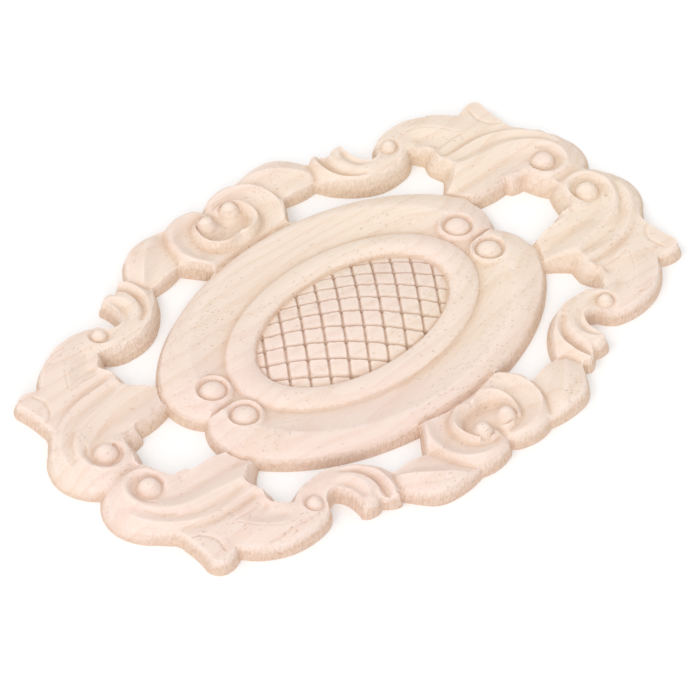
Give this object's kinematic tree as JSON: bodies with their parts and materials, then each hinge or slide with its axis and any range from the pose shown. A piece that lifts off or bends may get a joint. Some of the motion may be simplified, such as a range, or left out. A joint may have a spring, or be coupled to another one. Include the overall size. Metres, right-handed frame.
{
  "type": "carved wood onlay rosette",
  "caption": "Pierced oval onlay of pale wood: domed crosshatched field in a moulded shield, wreathed by acanthus leaves, scrolls and shells, flat back.",
  "frame": {"origin": "centre of the flat back", "axes": "+X along the long axis of the oval, +Y along its short axis, +Z out of the carved face"},
  "size_m": [0.2994, 0.198, 0.0127],
  "materials": {
    "wood": "unfinished matte pale wood, fine open grain along the length"
  },
  "bodies": {
    "root": {"rosette": "wood"}
  },
  "joints": []
}
